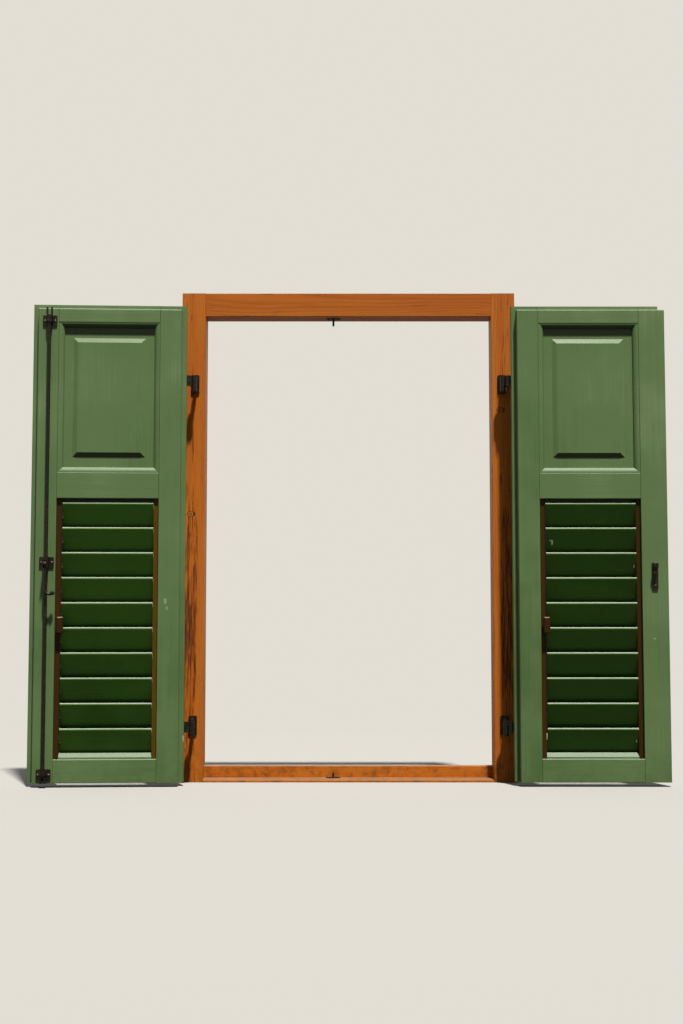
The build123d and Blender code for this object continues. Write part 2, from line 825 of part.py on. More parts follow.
cradle_top = handle_level - handle_bar_radius - cradle_clearance
lip_y = bolt_y + handle_bar_radius + cradle_clearance
with BuildPart() as handle_catch:
    with BuildSketch(room_side(inside)):
        with Locations((catch_x, cradle_top + cradle_lip - catch_height / 2)):
            RectangleRounded(catch_width, catch_height, catch_corner)
    extrude(amount=catch_thickness)
    with BuildSketch(Plane.YZ.offset(-catch_x)) as cradle:
        Polygon(
            (inside, cradle_top - cradle_wall),
            (lip_y + cradle_wall, cradle_top - cradle_wall),
            (lip_y + cradle_wall, cradle_top + cradle_lip),
            (lip_y, cradle_top + cradle_lip),
            (lip_y, cradle_top),
            (inside, cradle_top),
            align=None,
        )
        chamfer(cradle.vertices().group_by(Axis.X)[-1], cradle_bevel)
    extrude(amount=cradle_width / 2, both=True)
write(handle_catch, "handle_catch", right_place)
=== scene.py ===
# %% [markdown]
# # A pair of window shutters
#
# Two framed shutter leaves stand open beside a stained wooden frame, with their inner faces to the
# viewer. Each leaf has a raised panel over ten tilting slats. A turning bolt runs down the left leaf.
# The solids come ready made, and this lesson gives them their finish: green paint over wood, stained
# pine, blackened iron and bare strips of brown wood, then the small screws that hold the ironwork.

# %% Load the solids
import json
import math

import bmesh
import bpy
from mathutils import Matrix, Vector


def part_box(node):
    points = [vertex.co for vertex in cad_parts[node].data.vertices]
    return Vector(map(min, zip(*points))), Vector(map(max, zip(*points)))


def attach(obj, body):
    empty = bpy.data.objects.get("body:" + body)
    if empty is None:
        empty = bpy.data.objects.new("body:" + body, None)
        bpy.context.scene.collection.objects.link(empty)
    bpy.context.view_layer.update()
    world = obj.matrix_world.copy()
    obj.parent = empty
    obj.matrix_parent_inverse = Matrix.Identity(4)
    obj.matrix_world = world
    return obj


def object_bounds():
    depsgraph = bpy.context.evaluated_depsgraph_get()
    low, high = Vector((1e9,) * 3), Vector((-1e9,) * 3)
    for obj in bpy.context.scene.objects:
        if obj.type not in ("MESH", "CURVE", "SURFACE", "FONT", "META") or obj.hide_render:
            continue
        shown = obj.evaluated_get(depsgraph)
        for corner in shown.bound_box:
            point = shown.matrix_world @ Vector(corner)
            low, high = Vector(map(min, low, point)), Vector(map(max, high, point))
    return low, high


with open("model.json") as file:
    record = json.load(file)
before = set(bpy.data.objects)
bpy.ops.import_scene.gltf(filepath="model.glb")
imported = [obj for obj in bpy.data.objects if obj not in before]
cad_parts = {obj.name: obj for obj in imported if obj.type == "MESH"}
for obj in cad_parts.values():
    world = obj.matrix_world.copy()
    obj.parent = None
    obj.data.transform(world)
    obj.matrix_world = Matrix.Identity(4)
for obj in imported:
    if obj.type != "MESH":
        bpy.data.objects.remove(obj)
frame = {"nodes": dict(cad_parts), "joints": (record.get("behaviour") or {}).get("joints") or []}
nodes = frame["nodes"]
cad_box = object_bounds()
print("pieces:", len(nodes), "box:", [round(v, 4) for corner in cad_box for v in corner])

# %% [markdown]
# ## The camera
#
# A 50 mm lens on a 36 mm tall picture stands about four metres away, a little left of the middle and
# below the middle of the leaves, and looks slightly up. A shorter lens from nearer would spread the
# leaves apart. A small tilt keeps upright edges nearly upright and needs no shift of the lens.

# %% Camera
LENS = 50
PICTURE_HEIGHT = 36
CAMERA_PLACE = (-0.020, -4.093, 0.455)
CAMERA_TILT = 4.37


def add_object(name, data):
    """An object in the scene that shows data."""
    made = bpy.data.objects.new(name, data)
    bpy.context.scene.collection.objects.link(made)
    return made


camera_data = bpy.data.cameras.new("camera")
camera_data.lens = LENS
camera_data.sensor_width = PICTURE_HEIGHT
camera = add_object("camera", camera_data)
camera.location = CAMERA_PLACE
camera.rotation_euler = (math.radians(90 + CAMERA_TILT), 0, 0)
bpy.context.scene.camera = camera
print("camera at", CAMERA_PLACE, "tilted up by", CAMERA_TILT)

# %% [markdown]
# ## Small helpers for node trees
#
# A shader or a geometry tree is a drawing of boxes and wires. These helpers add one box at a time and
# either wire an input or set its value, so the trees below read almost like formulas. A noise stays
# near a half, mostly inside NOISE_SPAN, so a fade over that span makes use of all of it.

# %% Node helpers
NOISE_SPAN = (0.3, 0.7)


def put(tree, kind, inputs=None, **settings):
    """Adds a node, sets its properties, and wires or sets the inputs that are given."""
    made = tree.nodes.new(kind)
    for name, value in settings.items():
        setattr(made, name, value)
    for key, value in (inputs or {}).items():
        if isinstance(value, bpy.types.NodeSocket):
            tree.links.new(value, made.inputs[key])
        else:
            made.inputs[key].default_value = value
    return made


def maths(tree, operation, *values):
    """One Math node on sockets or numbers."""
    return put(tree, "ShaderNodeMath", dict(enumerate(values)), operation=operation).outputs[0]


def times(tree, first, second):
    """A product."""
    return maths(tree, "MULTIPLY", first, second)


def plus(tree, first, second):
    """A sum."""
    return maths(tree, "ADD", first, second)


def apart(tree, value, at):
    """How far a value is from a number, above it or below it."""
    return maths(tree, "ABSOLUTE", maths(tree, "SUBTRACT", value, at))


def fade(tree, value, low, high, start=0.0, end=1.0):
    """A smooth step from start to end as value goes from low to high."""
    sockets = {"Value": value, "From Min": low, "From Max": high, "To Min": start, "To Max": end}
    return put(tree, "ShaderNodeMapRange", sockets, interpolation_type="SMOOTHSTEP").outputs[0]


def band(tree, value, enter, leave, full=1.0):
    """Rises from 0 as value crosses enter, stays at full, and falls to 0 as value crosses leave."""
    return times(tree, fade(tree, value, *enter), fade(tree, value, *leave, full, 0.0))


def blend_colour(tree, share, first, second):
    """The first colour where share is 0 and the second where it is 1."""
    made = put(tree, "ShaderNodeMix", {0: share, 6: first, 7: second}, data_type="RGBA")
    return made.outputs[2]


def noise(tree, vector, scale, detail=3.0, roughness=0.5, distortion=0.0):
    """A cloud of values around a half."""
    sockets = {"Vector": vector, "Scale": scale, "Detail": detail, "Roughness": roughness}
    sockets["Distortion"] = distortion
    return put(tree, "ShaderNodeTexNoise", sockets).outputs[0]


# %% Vector helpers
def vector_maths(tree, operation, *values):
    """One Vector Math node. A length comes out as a number, everything else as a vector."""
    made = put(tree, "ShaderNodeVectorMath", dict(enumerate(values)), operation=operation)
    return made.outputs["Value" if operation == "LENGTH" else "Vector"]


def stretch(tree, vector, amounts):
    """Coordinates scaled along each axis."""
    return vector_maths(tree, "MULTIPLY", vector, amounts)


def split(tree, vector):
    """The three numbers of a vector."""
    return put(tree, "ShaderNodeSeparateXYZ", {0: vector}).outputs


def join(tree, x, y, z):
    """A vector from three numbers."""
    return put(tree, "ShaderNodeCombineXYZ", {"X": x, "Y": y, "Z": z}).outputs[0]


def object_place(tree):
    """Coordinates of the piece itself, in metres."""
    return put(tree, "ShaderNodeTexCoord").outputs["Object"]


# %% Colours and groups
FLOAT, COLOUR = "NodeSocketFloat", "NodeSocketColor"
ORIGIN = (0.0, 0.0, 0.0)


def srgb(red, green, blue):
    """A screen colour from 0 to 255 as the linear colour that shaders use."""
    linear = []
    for value in (red, green, blue):
        share = value / 255
        linear.append(share / 12.92 if share <= 0.04045 else ((share + 0.055) / 1.055) ** 2.4)
    return (*linear, 1.0)


def new_group(name, inputs, outputs):
    """An empty shader group with its sockets. Returns the tree, its input values and its outputs."""
    tree = bpy.data.node_groups.new(name, "ShaderNodeTree")
    for label, value in inputs.items():
        if isinstance(value, float):
            kind = FLOAT
        elif len(value) == 3:
            kind = "NodeSocketVector"
        else:
            kind = COLOUR
        tree.interface.new_socket(label, in_out="INPUT", socket_type=kind).default_value = value
    for label, kind in outputs.items():
        tree.interface.new_socket(label, in_out="OUTPUT", socket_type=kind)
    return tree, tree.nodes.new("NodeGroupInput").outputs, tree.nodes.new("NodeGroupOutput").inputs


def use(tree, group, inputs):
    """Places a group in a tree and returns its outputs."""
    return put(tree, "ShaderNodeGroup", inputs, node_tree=group).outputs


# %% [markdown]
# ## Floor, background and light
#
# The floor is a large pale disc. Away from the shutters it fades into the same pale colour that the
# background has, so there is no horizon line. A high, slightly right-hand lamp with soft shadows does
# what the sun does outdoors: it rakes down the leaves, so the undersides of the slats stay dark and
# every upper edge catches light. The world fills in the rest. It is dim in front, which keeps the
# recesses dark, and brighter behind, so that the outsides of the leaves can be read too.

# %% World
BACKDROP = srgb(226, 222, 212)
SKY_TINT = (0.93, 0.97, 1.0, 1.0)
FRONT_FILL = 0.12
BACK_FILL = 0.66
FRONT_TO_BACK = (-0.5, 0.7)

world = bpy.data.worlds.new("studio")
bpy.context.scene.world = world
world.use_nodes = True
sky = world.node_tree
sky.nodes.clear()
rays = put(sky, "ShaderNodeLightPath").outputs
seen = maths(sky, "MAXIMUM", rays["Is Camera Ray"], rays["Is Glossy Ray"])
way = split(sky, put(sky, "ShaderNodeTexCoord").outputs["Generated"])
level = fade(sky, way[1], *FRONT_TO_BACK, FRONT_FILL, BACK_FILL)
fill = put(sky, "ShaderNodeBackground", {"Color": SKY_TINT, "Strength": level})
shown = put(sky, "ShaderNodeBackground", {"Color": BACKDROP, "Strength": 1.0})
both = put(sky, "ShaderNodeMixShader", {0: seen, 1: fill.outputs[0], 2: shown.outputs[0]})
put(sky, "ShaderNodeOutputWorld", {"Surface": both.outputs[0]})
print("fill light:", FRONT_FILL, "in front,", BACK_FILL, "behind")

# %% Floor
FLOOR_RADIUS = 12
FLOOR_SIDES = 96
FLOOR_FADE = (0.9, 2.4)
FLOOR_SEEN = srgb(153, 151, 147)
FLOOR_BOUNCE = srgb(88, 86, 82)

disc = bmesh.new()
bmesh.ops.create_circle(disc, cap_ends=True, radius=FLOOR_RADIUS, segments=FLOOR_SIDES)
floor_mesh = bpy.data.meshes.new("floor")
disc.to_mesh(floor_mesh)
disc.free()
floor = add_object("floor", floor_mesh)
floor.location.z = cad_box[0].z

floor_look = bpy.data.materials.new("pale_floor")
floor_look.use_nodes = True
tree = floor_look.node_tree
tree.nodes.clear()
reach = vector_maths(tree, "LENGTH", object_place(tree))
to_camera = put(tree, "ShaderNodeLightPath").outputs["Is Camera Ray"]
far = times(tree, fade(tree, reach, *FLOOR_FADE), to_camera)
pale = blend_colour(tree, to_camera, FLOOR_BOUNCE, FLOOR_SEEN)
matt = put(tree, "ShaderNodeBsdfDiffuse", {"Color": pale})
glow = put(tree, "ShaderNodeEmission", {"Color": BACKDROP})
mixed = put(tree, "ShaderNodeMixShader", {0: far, 1: matt.outputs[0], 2: glow.outputs[0]})
put(tree, "ShaderNodeOutputMaterial", {"Surface": mixed.outputs[0]})
floor_mesh.materials.append(floor_look)
print("floor at z", round(floor.location.z, 4))

# %% Lamp
KEY_STRENGTH = 7.2
KEY_ELEVATION = 69
KEY_TURN = 19
KEY_SOFTNESS = 3
KEY_TINT = (1.0, 0.97, 0.92)

lamp_data = bpy.data.lights.new("key", "SUN")
lamp_data.energy = KEY_STRENGTH
lamp_data.angle = math.radians(KEY_SOFTNESS)
lamp_data.color = KEY_TINT
lamp = add_object("key", lamp_data)
lamp.rotation_euler = (math.radians(90 - KEY_ELEVATION), 0, math.radians(KEY_TURN))
bpy.context.scene.view_settings.view_transform = "Standard"
print("key lamp", KEY_ELEVATION, "degrees high, turned by", KEY_TURN)

# %% [markdown]
# ## Finding a place on a leaf
#
# The leaves are turned about their hinges, the left one by three degrees less than a half turn. A
# Mapping node undoes that turn, so that in every paint material x is the distance from the hinge line,
# y the depth from the outside towards the room, and z the height. One pattern then fits both leaves.

# %% Leaf coordinates
REST_TURN = {"left": math.radians(-177), "right": math.radians(180)}
FLIP = {"left": 1.0, "right": -1.0}
WOOD_RELIEF = 0.0002
IRON_RELIEF = 0.0006

hinge_of = {}
for joint in frame["joints"]:
    if joint["name"].endswith("_leaf_hinge"):
        hinge_of[joint["name"].split("_")[0]] = joint["pos_m"]
print("hinge lines:", hinge_of)


def leaf_place(tree, leaf):
    """Coordinates measured from a leaf's own hinge line."""
    x, y, _ = hinge_of[leaf]
    sockets = {
        "Vector": object_place(tree),
        "Location": (x, y, 0),
        "Rotation": (0, 0, REST_TURN[leaf]),
        "Scale": (FLIP[leaf], 1, 1),
    }
    return put(tree, "ShaderNodeMapping", sockets, vector_type="TEXTURE").outputs[0]


def upward(tree):
    """How much a surface faces up, measured on the piece itself."""
    return split(tree, put(tree, "ShaderNodeTexCoord").outputs["Normal"])[2]


def finish_from(name, build, relief=WOOD_RELIEF, specular=0.25, metallic=0.0):
    """A material whose Principled shader takes colour, roughness and height from build(tree)."""
    made = bpy.data.materials.new(name)
    made.use_nodes = True
    tree = made.node_tree
    shader = tree.nodes["Principled BSDF"]
    shader.inputs["Specular IOR Level"].default_value = specular
    shader.inputs["Metallic"].default_value = metallic
    colour, roughness, height = build(tree)
    tree.links.new(colour, shader.inputs["Base Color"])
    tree.links.new(roughness, shader.inputs["Roughness"])
    bump = put(tree, "ShaderNodeBump", {"Height": height, "Distance": relief, "Strength": 1.0})
    tree.links.new(bump.outputs[0], shader.inputs["Normal"])
    return made


# %% [markdown]
# ## Wood grain
#
# A board is cut from a round trunk, so its grain is a slice through rings. Stretched noise alone would
# give only fibres, with none of the arches that a saw leaves. So the group takes the distance from a
# trunk's centre line that lies off the board, bends it with a long soft noise, and counts rings. Fine
# fibres are a second noise, stretched hard along the board. The group expects coordinates with the
# board's length along z, and serves the paint, the stain and the brown strips.

# %% Grain group
WAVE_STRETCH = (7.0, 7.0, 1.1)
FIBRE_STRETCH = (900.0, 900.0, 16.0)
BROAD_STRETCH = (26.0, 26.0, 2.2)
LATE_WOOD = ((0.35, 0.86), (0.9, 1.0))

grain_group, given, result = new_group(
    "wood_grain",
    {"Place": ORIGIN, "Heart": (0.2, 0.1, 0.0), "Ring Width": 0.006, "Waviness": 0.012},
    {"Rings": FLOAT, "Fibres": FLOAT, "Broad": FLOAT},
)
tree = grain_group
parts = split(tree, vector_maths(tree, "SUBTRACT", given["Place"], given["Heart"]))
radius = vector_maths(tree, "LENGTH", join(tree, parts[0], parts[1], 0.0))
wave = noise(tree, stretch(tree, given["Place"], WAVE_STRETCH), 1.0, 2.0)
bend = times(tree, maths(tree, "SUBTRACT", wave, 0.5), given["Waviness"])
count = maths(tree, "DIVIDE", plus(tree, radius, bend), given["Ring Width"])
late = band(tree, maths(tree, "FRACT", count), *LATE_WOOD)
fibres = noise(tree, stretch(tree, given["Place"], FIBRE_STRETCH), 1.0, 3.0, 0.6)
broad = noise(tree, stretch(tree, given["Place"], BROAD_STRETCH), 1.0, 2.0)
tree.links.new(late, result["Rings"])
tree.links.new(fibres, result["Fibres"])
tree.links.new(broad, result["Broad"])
print(tree.name, "nodes:", len(tree.nodes))

# %% [markdown]
# ## Dust, dirt and chips
#
# Years outdoors leave three marks that several finishes share. Pale dust and faded paint sit where a
# surface faces up. Splashed dirt darkens the lowest hand's breadth. A chip is a small ragged spot at a
# chosen place where another layer shows. Each mark is a mask from a group, so every finish can give it
# a colour and a strength of its own.

# %% Weather group
DUSTY_SLOPE = (0.25, 0.85)
DUST_SCALE = 90.0
SPLASH_SCALE = 46.0
BLOTCH_SCALE = 5.0

weather_group, given, result = new_group(
    "weather",
    {"Place": ORIGIN, "Up": 0.0, "Dust": 0.6, "Splash Height": 0.16},
    {"Dust": FLOAT, "Dirt": FLOAT, "Blotches": FLOAT},
)
tree = weather_group
patchy = fade(tree, noise(tree, given["Place"], DUST_SCALE, 4.0, 0.65), 0.2, 0.62, 0.45, 1.0)
settled = times(tree, fade(tree, given["Up"], *DUSTY_SLOPE), patchy)
low = fade(tree, split(tree, given["Place"])[2], 0.0, given["Splash Height"], 1.0, 0.0)
spots = fade(tree, noise(tree, given["Place"], SPLASH_SCALE, 5.0, 0.7), 0.42, 0.72)
tree.links.new(times(tree, settled, given["Dust"]), result["Dust"])
tree.links.new(times(tree, low, spots), result["Dirt"])
tree.links.new(noise(tree, given["Place"], BLOTCH_SCALE, 3.0, 0.55), result["Blotches"])
print(tree.name, "nodes:", len(tree.nodes))

# %% Chip group
RAGGED_SCALE = 420.0
CHIP_EDGE = (0.85, 1.0)

chip_group, given, result = new_group(
    "chip",
    {"Place": ORIGIN, "Middle": ORIGIN, "Size": (0.004, 0.02, 0.003), "Ragged": 0.6},
    {"Mask": FLOAT},
)
tree = chip_group
away = vector_maths(tree, "SUBTRACT", given["Place"], given["Middle"])
away = vector_maths(tree, "LENGTH", vector_maths(tree, "DIVIDE", away, given["Size"]))
edge = maths(tree, "SUBTRACT", noise(tree, given["Place"], RAGGED_SCALE, 3.0), 0.5)
away = plus(tree, away, times(tree, edge, given["Ragged"]))
tree.links.new(fade(tree, away, *CHIP_EDGE, 1.0, 0.0), result["Mask"])
print(tree.name, "nodes:", len(tree.nodes))

# %% [markdown]
# ## Green paint
#
# The leaves wear a satin green that has gone a little olive. Under it the grain still shows as fine
# ridges along each board, so stiles and panels take it upright and rails and slats take it level. The
# paint group mixes a broad fading, streaks left by the brush, dust and dirt, and returns colour,
# roughness and height. Each board may be a shade lighter or darker through its own number.

# %% Paint group
PAINT = {"Paint": srgb(87, 111, 68), "Faded": srgb(106, 127, 86), "Deep": srgb(68, 94, 50)}
BRUSH_STRETCH = (190.0, 190.0, 3.0)
FOOT_TO_TOP = (0.1, 1.35)

paint_group, given, result = new_group(
    "green_paint",
    {
        "Place": ORIGIN,
        "Along": ORIGIN,
        "Up": 0.0,
        "Shade": 0.0,
        **PAINT,
        "Dust Colour": srgb(124, 134, 122),
        "Dirt Colour": srgb(78, 90, 54),
    },
    {"Colour": COLOUR, "Roughness": FLOAT, "Height": FLOAT},
)
tree = paint_group
grain = use(tree, grain_group, {"Place": given["Along"], "Ring Width": 0.005, "Waviness": 0.02})
wear = use(tree, weather_group, {"Place": given["Place"], "Up": given["Up"], "Dust": 0.75})
brush = noise(tree, stretch(tree, given["Along"], BRUSH_STRETCH), 1.0, 4.0, 0.6)
high = split(tree, given["Place"])[2]
tone = plus(tree, fade(tree, wear["Blotches"], *NOISE_SPAN, -0.22, 0.22), given["Shade"])
tone = plus(tree, tone, fade(tree, brush, *NOISE_SPAN, -0.09, 0.09))
tone = plus(tree, tone, times(tree, grain["Rings"], -0.04))
tone = plus(tree, tone, fade(tree, high, *FOOT_TO_TOP, -0.14, 0.16))
colour = blend_colour(tree, fade(tree, tone, 0.0, 0.6), given["Paint"], given["Faded"])
colour = blend_colour(tree, fade(tree, tone, 0.0, -0.6), colour, given["Deep"])
colour = blend_colour(tree, times(tree, wear["Dirt"], 0.45), colour, given["Dirt Colour"])
colour = blend_colour(tree, wear["Dust"], colour, given["Dust Colour"])
rough = fade(tree, wear["Blotches"], *NOISE_SPAN, 0.42, 0.52)
rough = plus(tree, rough, times(tree, wear["Dust"], 0.3))
height = plus(tree, times(tree, grain["Fibres"], 0.5), times(tree, brush, 0.5))
tree.links.new(colour, result["Colour"])
tree.links.new(rough, result["Roughness"])
tree.links.new(height, result["Height"])
print(tree.name, "nodes:", len(tree.nodes))

# %% [markdown]
# Painted shade lies where the lamp's light hardly reaches: on the step above the slats, on the strip of
# each slat that runs under the next one, on the faces of the panel and its beads that look down, and on
# the panel just below its top bead. A near-black is painted there. Darkening every corner alike would
# dull the open ones too, so a small function for each kind of board says where its painted shade lies.
# All take the same three values.

# %% Painted shade in recesses
# A near-black colour, painted as shade into the recesses below.
PAINTED_SHADE = srgb(4, 12, 1)
STEP_DEPTH = ((0.0365, 0.038), (0.046, 0.052))
STEP_LEVEL = ((0.776, 0.782), (0.795, 0.797))
SLAT_OUTER_EDGE = (0.0335, 0.0365)
SLAT_TUCKED = (0.0385, 0.0425)
SLAT_DOWN_TO_UP = (-0.15, 0.1)
BEAD_DOWN = (-0.4, -0.2)
TOP_BEAD_FOOT = (1.2555, 1.2575)
PANEL_FACE = 0.054
PANEL_SKIN = (0.0005, 0.0015)


def painted_shade_above_slats(tree, place, up):
    """Painted shade on the step of the middle rail, behind its inner layer."""
    parts = split(tree, place)
    deep = band(tree, parts[1], *STEP_DEPTH, 0.8)
    return times(tree, deep, band(tree, parts[2], *STEP_LEVEL))


def painted_shade_under_slat(tree, place, up):
    """Painted shade on the part of a slat's lower face that lies deep in the leaf."""
    deep = band(tree, split(tree, place)[1], SLAT_OUTER_EDGE, SLAT_TUCKED, 0.75)
    return times(tree, deep, fade(tree, up, *SLAT_DOWN_TO_UP, 1.0, 0.0))


def painted_shade_under_bead(tree, place, up):
    """Painted shade on faces that look down and on the panel's inner face under the top bead."""
    parts = split(tree, place)
    on_panel = fade(tree, apart(tree, parts[1], PANEL_FACE), *PANEL_SKIN, 1.0, 0.0)
    strip = times(tree, fade(tree, parts[2], *TOP_BEAD_FOOT, 0.0, 0.7), on_panel)
    return maths(tree, "MAXIMUM", fade(tree, up, *BEAD_DOWN, 0.75, 0.0), strip)


# %% [markdown]
# The boards meet in fine dark lines, where dirt has settled in the joints. A joint is a plane at one
# distance from the hinge line, so the paint darkens close to it. The boards' own boxes tell where the
# joints are.

# %% Joints between the boards
hinge_x = hinge_of["right"][0]
NEAR_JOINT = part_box("right_hinge_stile")[1].x - hinge_x
FAR_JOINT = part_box("right_meeting_stile")[0].x - hinge_x
JOINT_LINE = (0.0004, 0.0012)
JOINT_DIRT = srgb(30, 38, 18)
print("joints at", round(NEAR_JOINT, 4), round(FAR_JOINT, 4))

# %% [markdown]
# The slats' faces that look down into the room take a deeper, more saturated green. Partly it is paint
# that the sun has never faded, and partly painted shade with the green light that bounces between the
# slats. Their edges and outer faces have faded like the rest of the leaf. A face's own direction and
# its depth in the leaf tell the two apart.

# %% Greens of a slat
# Greens for the slats' downward faces: never-faded paint and painted shade together.
UNFADED_AND_SHADED = {
    "Paint": srgb(66, 114, 26),
    "Faded": srgb(76, 122, 34),
    "Deep": srgb(48, 92, 8),
    "Dust Colour": srgb(156, 165, 154),
}


def slat_sockets(tree, place, up, unfaded_and_shaded, shade):
    """Inputs of the paint group for a slat: deeper greens, partly painted shade, where its face looks
    down.
    """
    outer_edge = fade(tree, split(tree, place)[1], *SLAT_OUTER_EDGE, 1.0, 0.0)
    lit_or_bleached = maths(tree, "MAXIMUM", fade(tree, up, *SLAT_DOWN_TO_UP), outer_edge)
    sockets = {"Dust Colour": unfaded_and_shaded["Dust Colour"]}
    for label, lit_or_bleached_tint in PAINT.items():
        sockets[label] = blend_colour(tree, lit_or_bleached, unfaded_and_shaded[label], lit_or_bleached_tint)
    sockets["Shade"] = times(tree, maths(tree, "SUBTRACT", 1.0, lit_or_bleached), shade)
    return sockets


# %% [markdown]
# One function makes the paint of every kind of board, from the group and the marks above. Each kind of
# board takes its pattern from another part of the noise, so that no two neighbours look cut from one
# piece. A chip also lies a little lower than the paint around it.

# %% Paint material
CHIP_DEPTH = 1.5


def along_board(tree, place, level):
    """Coordinates with the board's length on z: as they are, or with x and z changed over."""
    if not level:
        return place
    parts = split(tree, place)
    return join(tree, parts[2], parts[1], parts[0])


def paint_material(
    name, leaf, shades, shift, level=False, chips=None, joints=False, unfaded_and_shaded=None, recess_shade=None
):
    """Green paint for the boards of a leaf that run one way."""
    shade = shades[leaf]
    offset = (shift * FLIP[leaf],) * 3

    def build(tree):
        place, up = leaf_place(tree, leaf), upward(tree)
        along = along_board(tree, vector_maths(tree, "ADD", place, offset), level)
        sockets = {"Place": place, "Along": along, "Up": up, "Shade": shade}
        if unfaded_and_shaded:
            sockets.update(slat_sockets(tree, place, up, unfaded_and_shaded, shade))
        paint = use(tree, paint_group, sockets)
        colour, height = paint["Colour"], paint["Height"]
        # Painted shade: the recess mask blends the colour towards near-black.
        if recess_shade:
            colour = blend_colour(tree, recess_shade(tree, place, up), colour, PAINTED_SHADE)
        if joints:
            for at in (NEAR_JOINT, FAR_JOINT):
                line = fade(tree, apart(tree, split(tree, place)[0], at), *JOINT_LINE, 0.85, 0.0)
                colour = blend_colour(tree, line, colour, JOINT_DIRT)
        for middle, size, shows in (chips or {}).get(leaf, ()):
            mask = use(tree, chip_group, {"Place": place, "Middle": middle, "Size": size})["Mask"]
            colour = blend_colour(tree, mask, colour, shows)
            height = maths(tree, "SUBTRACT", height, times(tree, mask, CHIP_DEPTH))
        return colour, paint["Roughness"], height

    return finish_from(name, build)


# %% [markdown]
# Chips are listed for each kind of board and each leaf, with their middle, their half lengths and what
# they show: bare grey wood, white primer, or a scuffed undercoat. Scattering them with a noise would
# be less work, but the real leaves have only a few, mostly on the left leaf's hinge stile and the right
# leaf's slats, so each one has its place.

# %% Chips
BARE_WOOD = srgb(168, 158, 132)
PRIMER = srgb(236, 236, 220)
SCUFF = srgb(122, 148, 106)
INNER_FACE = 0.067
OUTER_STEP = 0.043
STILE_CHIPS = {
    "left": [
        ((0.0705, INNER_FACE, 0.510), (0.0042, 0.02, 0.0088), SCUFF),
        ((0.0660, INNER_FACE, 0.490), (0.0028, 0.02, 0.0058), SCUFF),
        ((0.0190, OUTER_STEP, 0.131), (0.0022, 0.02, 0.0090), BARE_WOOD),
    ],
}
FREE_CHIPS = {
    "right": [((0.405, INNER_FACE, 0.406), (0.0034, 0.02, 0.0026), SCUFF)],
}
SLAT_CHIPS = {
    "right": [
        ((0.1270, 0.0485, 0.672), (0.0026, 0.0060, 0.0085), PRIMER),
        ((0.1235, 0.0509, 0.678), (0.0060, 0.0060, 0.0016), PRIMER),
        ((0.3545, 0.0498, 0.606), (0.0016, 0.0060, 0.0050), PRIMER),
        ((0.3535, 0.0503, 0.123), (0.0016, 0.0060, 0.0050), PRIMER),
    ],
}
for chips in (STILE_CHIPS, FREE_CHIPS, SLAT_CHIPS):
    print("chips:", {leaf: len(found) for leaf, found in chips.items()})

# %% [markdown]
# A table gives each kind of board its shade on either leaf and its marks, and a second one says which
# pieces are of that kind. The right leaf's slats are painted a darker green on the faces that look
# down, as painted shade for the deeper shade they hang in.

# %% Painted boards
BOARDS = {
    "stile": {
        "shades": {"left": 0.02, "right": -0.12},
        "shift": 0.31,
        "joints": True,
        "chips": STILE_CHIPS,
    },
    "free_stile": {
        "shades": {"left": 0.0, "right": 0.1},
        "shift": 0.77,
        "joints": True,
        "chips": FREE_CHIPS,
    },
    "rail": {
        "shades": {"left": 0.08, "right": 0.08},
        "shift": 0.13,
        "level": True,
        "recess_shade": painted_shade_above_slats,
    },
    "panel": {
        "shades": {"left": -0.05, "right": -0.05},
        "shift": 0.55,
        "recess_shade": painted_shade_under_bead,
    },
    "slat": {
        # The right leaf's deep number here is painted shade on its slats' downward faces.
        "shades": {"left": 0.05, "right": -0.55},
        "shift": 0.91,
        "level": True,
        "recess_shade": painted_shade_under_slat,
        "chips": SLAT_CHIPS,
        "unfaded_and_shaded": UNFADED_AND_SHADED,
    },
}
PIECES_OF = {
    "stile": ["hinge_stile"],
    "free_stile": ["meeting_stile"],
    "rail": ["top_rail", "mid_rail", "bottom_rail"],
    "panel": ["panel", "panel_beads"],
    "slat": [f"slat_{number:02d}" for number in range(1, 11)],
}


def dress(node, material):
    """Puts a material on a CAD node."""
    for socket in nodes[node].material_slots:
        socket.material = material


for leaf in ("left", "right"):
    for kind, looks in BOARDS.items():
        paint = paint_material(f"paint_{kind}_{leaf}", leaf, **looks)
        for piece in PIECES_OF[kind]:
            dress(f"{leaf}_{piece}", paint)
print("painted pieces on each leaf:", sum(len(pieces) for pieces in PIECES_OF.values()))

# %% [markdown]
# ## Stained pine
#
# The fixed frame is pine under an orange-brown stain. The stain lets the rings show a little, darker
# in the late wood. Rain runs off the open leaves onto the outer part of each jamb, where the stain has
# gone in ragged upright streaks, worst between knee and elbow height, and the sill has worn pale.
#
# Each jamb shows one knot, a small core in dark and pale rings. Rings in the grain itself would need a
# branch to bend them, so the knot is laid on as chips of stain, one inside the other.

# %% Knots
STREAK = srgb(112, 50, 10)
STREAK_CORE = srgb(50, 27, 12)
KNOT_PALE = srgb(166, 108, 50)
JAMB_FRONT = -0.035
KNOT_DEPTH = 0.05
KNOT_RAGGED = 0.45
KNOT_RINGS = [
    (0.0124, 0.0088, 0.0, STREAK),
    (0.0086, 0.0060, 0.0, KNOT_PALE),
    (0.0050, 0.0028, -0.0004, STREAK),
    (0.0036, 0.0062, 0.0100, STREAK_CORE),
]


def knotted(tree, place, knot, colour):
    """The colour with a knot in it: rings of half a width, half a height, a step aside and a tint."""
    across, high = knot
    for wide, tall, aside, tint in KNOT_RINGS:
        middle = (across + aside, JAMB_FRONT, high)
        sockets = {"Place": place, "Middle": middle, "Size": (wide, KNOT_DEPTH, tall)}
        mask = use(tree, chip_group, {**sockets, "Ragged": KNOT_RAGGED})["Mask"]
        colour = blend_colour(tree, mask, colour, tint)
    return colour


